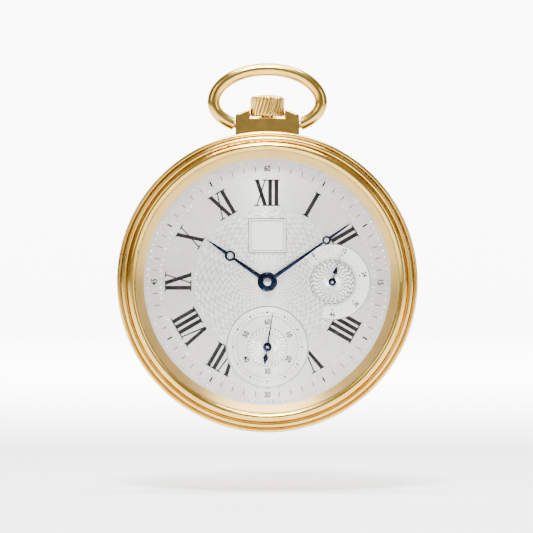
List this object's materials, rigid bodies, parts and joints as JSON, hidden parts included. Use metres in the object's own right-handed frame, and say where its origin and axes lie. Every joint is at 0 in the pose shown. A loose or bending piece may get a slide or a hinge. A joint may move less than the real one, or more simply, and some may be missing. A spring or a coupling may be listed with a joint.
{
  "type": "open face pocket watch",
  "caption": "Open face pocket watch with a gilt case, fluted crown and oval bow at 12, silvered dial with Roman numerals, small seconds, a power reserve sector and blued ring-tipped hands.",
  "frame": {"origin": "centre of the case back's flat outer face", "axes": "+Z towards 12 o'clock and the bow, +X towards 3 o'clock, the dial faces -Y and the case back faces +Y"},
  "size_m": [0.047, 0.0103, 0.0579],
  "materials": {
    "gold_plate": "polished",
    "crystal_glass": "polished",
    "dial_silver": "satin",
    "blued_steel": "polished",
    "steel": "polished",
    "brass": "satin",
    "nickel_plate": "satin",
    "ruby": "polished",
    "nylon": "satin",
    "rubber": "matte"
  },
  "bodies": {
    "case": {"balance_cock": "nickel_plate", "barrel_bridge": "nickel_plate", "bezel": "gold_plate", "bridge_screws": "blued_steel", "case_clamp_screws": "blued_steel", "case_clamps": "steel", "case_middle": "gold_plate", "click_spring": "steel", "crown_wheel_screw": "blued_steel", "crystal": "crystal_glass", "crystal_gasket": "nylon", "dial": "dial_silver", "dial_flange": "gold_plate", "dial_plaque": "dial_silver", "hairspring": "steel", "jewels": "ruby", "main_plate": "nickel_plate", "movement_ring": "brass", "pallet_bridge": "nickel_plate", "pendant": "gold_plate", "pendant_tube": "steel", "regulator": "steel", "setting_lever_spring": "steel", "train_bridge": "nickel_plate"},
    "back": {"case_back": "gold_plate", "back_gasket": "rubber"},
    "bow": {"bow": "gold_plate"},
    "winding": {"winding_pinion": "steel"},
    "stem": {"winding_stem": "steel", "crown": "gold_plate"},
    "sliding_pinion": {"sliding_pinion": "steel"},
    "setting_lever": {"setting_lever": "steel"},
    "yoke": {"yoke": "steel"},
    "crown_wheel": {"crown_wheel": "steel"},
    "ratchet": {"ratchet_wheel": "steel", "ratchet_screw": "blued_steel", "barrel_arbor": "steel"},
    "click": {"click": "steel"},
    "barrel": {"barrel": "brass", "barrel_cover": "brass", "mainspring": "steel"},
    "minute": {"minute_hand": "blued_steel", "cannon_pinion": "steel", "centre_wheel": "brass", "centre_pinion": "steel"},
    "hour": {"hour_hand": "blued_steel", "hour_wheel": "brass"},
    "minute_wheel": {"minute_wheel": "brass"},
    "setting_wheel": {"setting_wheel": "brass"},
    "third": {"third_wheel": "brass", "third_pinion": "steel"},
    "fourth": {"fourth_wheel": "brass", "fourth_pinion": "steel", "seconds_hand": "blued_steel"},
    "escape": {"escape_wheel": "steel"},
    "pallets": {"pallet_fork": "steel"},
    "balance": {"balance_wheel": "brass"},
    "reserve": {"reserve_hand": "blued_steel", "reserve_wheel": "brass"},
    "reserve_idler": {"reserve_idler": "brass"}
  },
  "joints": [
    {"name": "back_pull", "type": "slide", "parent": "case", "child": "back", "axis": [0, 1, 0], "range_m": [0, 0.03]},
    {"name": "bow_swing", "type": "hinge", "parent": "case", "child": "bow", "pos_m": [0, -0.004, 0.02475], "axis": [1, 0, 0], "range_deg": [-90, 90]},
    {"name": "crown_turn", "type": "hinge", "parent": "case", "child": "winding", "pos_m": [0, -0.004, 0.0146], "axis": [0, 0, 1], "continuous": true},
    {"name": "crown_pull", "type": "slide", "parent": "winding", "child": "stem", "axis": [0, 0, 1], "range_m": [0, 0.0009]},
    {"name": "sliding_pinion_shift", "type": "slide", "parent": "winding", "child": "sliding_pinion", "axis": [0, 0, 1], "range_m": [-0.0009, 0]},
    {"name": "setting_lever_swing", "type": "hinge", "parent": "case", "child": "setting_lever", "pos_m": [0.0028, -0.0056, 0.0169], "axis": [0, -1, 0], "range_deg": [-18.5, 0]},
    {"name": "yoke_swing", "type": "hinge", "parent": "case", "child": "yoke", "pos_m": [-0.0036, -0.0056, 0.012], "axis": [0, -1, 0], "range_deg": [-14.5, 0]},
    {"name": "crown_wheel_turn", "type": "hinge", "parent": "case", "child": "crown_wheel", "pos_m": [0, -0.0019, 0.01063], "axis": [0, -1, 0], "continuous": true},
    {"name": "ratchet_turn", "type": "hinge", "parent": "case", "child": "ratchet", "pos_m": [0.00808, -0.0019, 0.00377], "axis": [0, -1, 0], "continuous": true},
    {"name": "click_swing", "type": "hinge", "parent": "case", "child": "click", "pos_m": [0.0067, -0.0019, 0.01155], "axis": [0, -1, 0], "range_deg": [0, 12], "stiffness_Nm_per_rad": 0.0001},
    {"name": "barrel_turn", "type": "hinge", "parent": "case", "child": "barrel", "pos_m": [0.00808, -0.0035, 0.00377], "axis": [0, -1, 0], "continuous": true},
    {"name": "minute_turn", "type": "hinge", "parent": "case", "child": "minute", "pos_m": [0, -0.005, 0], "axis": [0, -1, 0], "continuous": true},
    {"name": "hour_turn", "type": "hinge", "parent": "case", "child": "hour", "pos_m": [0, -0.007, 0], "axis": [0, -1, 0], "continuous": true},
    {"name": "minute_wheel_turn", "type": "hinge", "parent": "case", "child": "minute_wheel", "pos_m": [0, -0.006, 0.0036], "axis": [0, -1, 0], "continuous": true},
    {"name": "setting_wheel_turn", "type": "hinge", "parent": "case", "child": "setting_wheel", "pos_m": [0, -0.0056, 0.0084], "axis": [0, -1, 0], "continuous": true},
    {"name": "third_turn", "type": "hinge", "parent": "case", "child": "third", "pos_m": [-0.0028, -0.0033, -0.0059], "axis": [0, -1, 0], "continuous": true},
    {"name": "fourth_turn", "type": "hinge", "parent": "case", "child": "fourth", "pos_m": [0, -0.0033, -0.01016], "axis": [0, -1, 0], "continuous": true},
    {"name": "escape_turn", "type": "hinge", "parent": "case", "child": "escape", "pos_m": [-0.00393, -0.004, -0.01159], "axis": [0, -1, 0], "continuous": true},
    {"name": "pallet_rock", "type": "hinge", "parent": "case", "child": "pallets", "pos_m": [-0.00642, -0.0041, -0.01068], "axis": [0, -1, 0], "range_deg": [-4, 4]},
    {"name": "balance_swing", "type": "hinge", "parent": "case", "child": "balance", "pos_m": [-0.00837, -0.0028, -0.0079], "axis": [0, -1, 0], "range_deg": [-270, 270], "stiffness_Nm_per_rad": 0.0000003},
    {"name": "reserve_turn", "type": "hinge", "parent": "case", "child": "reserve", "pos_m": [0.01016, -0.0063, 0], "axis": [0, -1, 0], "range_deg": [-163.2, 52.3]},
    {"name": "reserve_idler_turn", "type": "hinge", "parent": "case", "child": "reserve_idler", "pos_m": [0.01226, -0.0062, 0.00364], "axis": [0, -1, 0], "range_deg": [-314, 980]}
  ],
  "couplings": [
    {"joint": "sliding_pinion_shift", "follows": "crown_pull", "ratio": -1},
    {"joint": "setting_lever_swing", "follows": "crown_pull", "rad_per_m": -357.14},
    {"joint": "yoke_swing", "follows": "crown_pull", "rad_per_m": -277.78},
    {"joint": "crown_wheel_turn", "follows": "crown_turn", "ratio": 0.45},
    {"joint": "ratchet_turn", "follows": "crown_turn", "ratio": -0.27273},
    {"joint": "hour_turn", "follows": "minute_turn", "ratio": 0.083333},
    {"joint": "minute_wheel_turn", "follows": "minute_turn", "ratio": -0.33333},
    {"joint": "setting_wheel_turn", "follows": "minute_turn", "ratio": 0.42857},
    {"joint": "third_turn", "follows": "minute_turn", "ratio": -8},
    {"joint": "fourth_turn", "follows": "minute_turn", "ratio": 60},
    {"joint": "escape_turn", "follows": "minute_turn", "ratio": -600},
    {"joint": "barrel_turn", "follows": "minute_turn", "ratio": -0.14583},
    {"joint": "reserve_idler_turn", "follows": "reserve_turn", "ratio": -6}
  ]
}
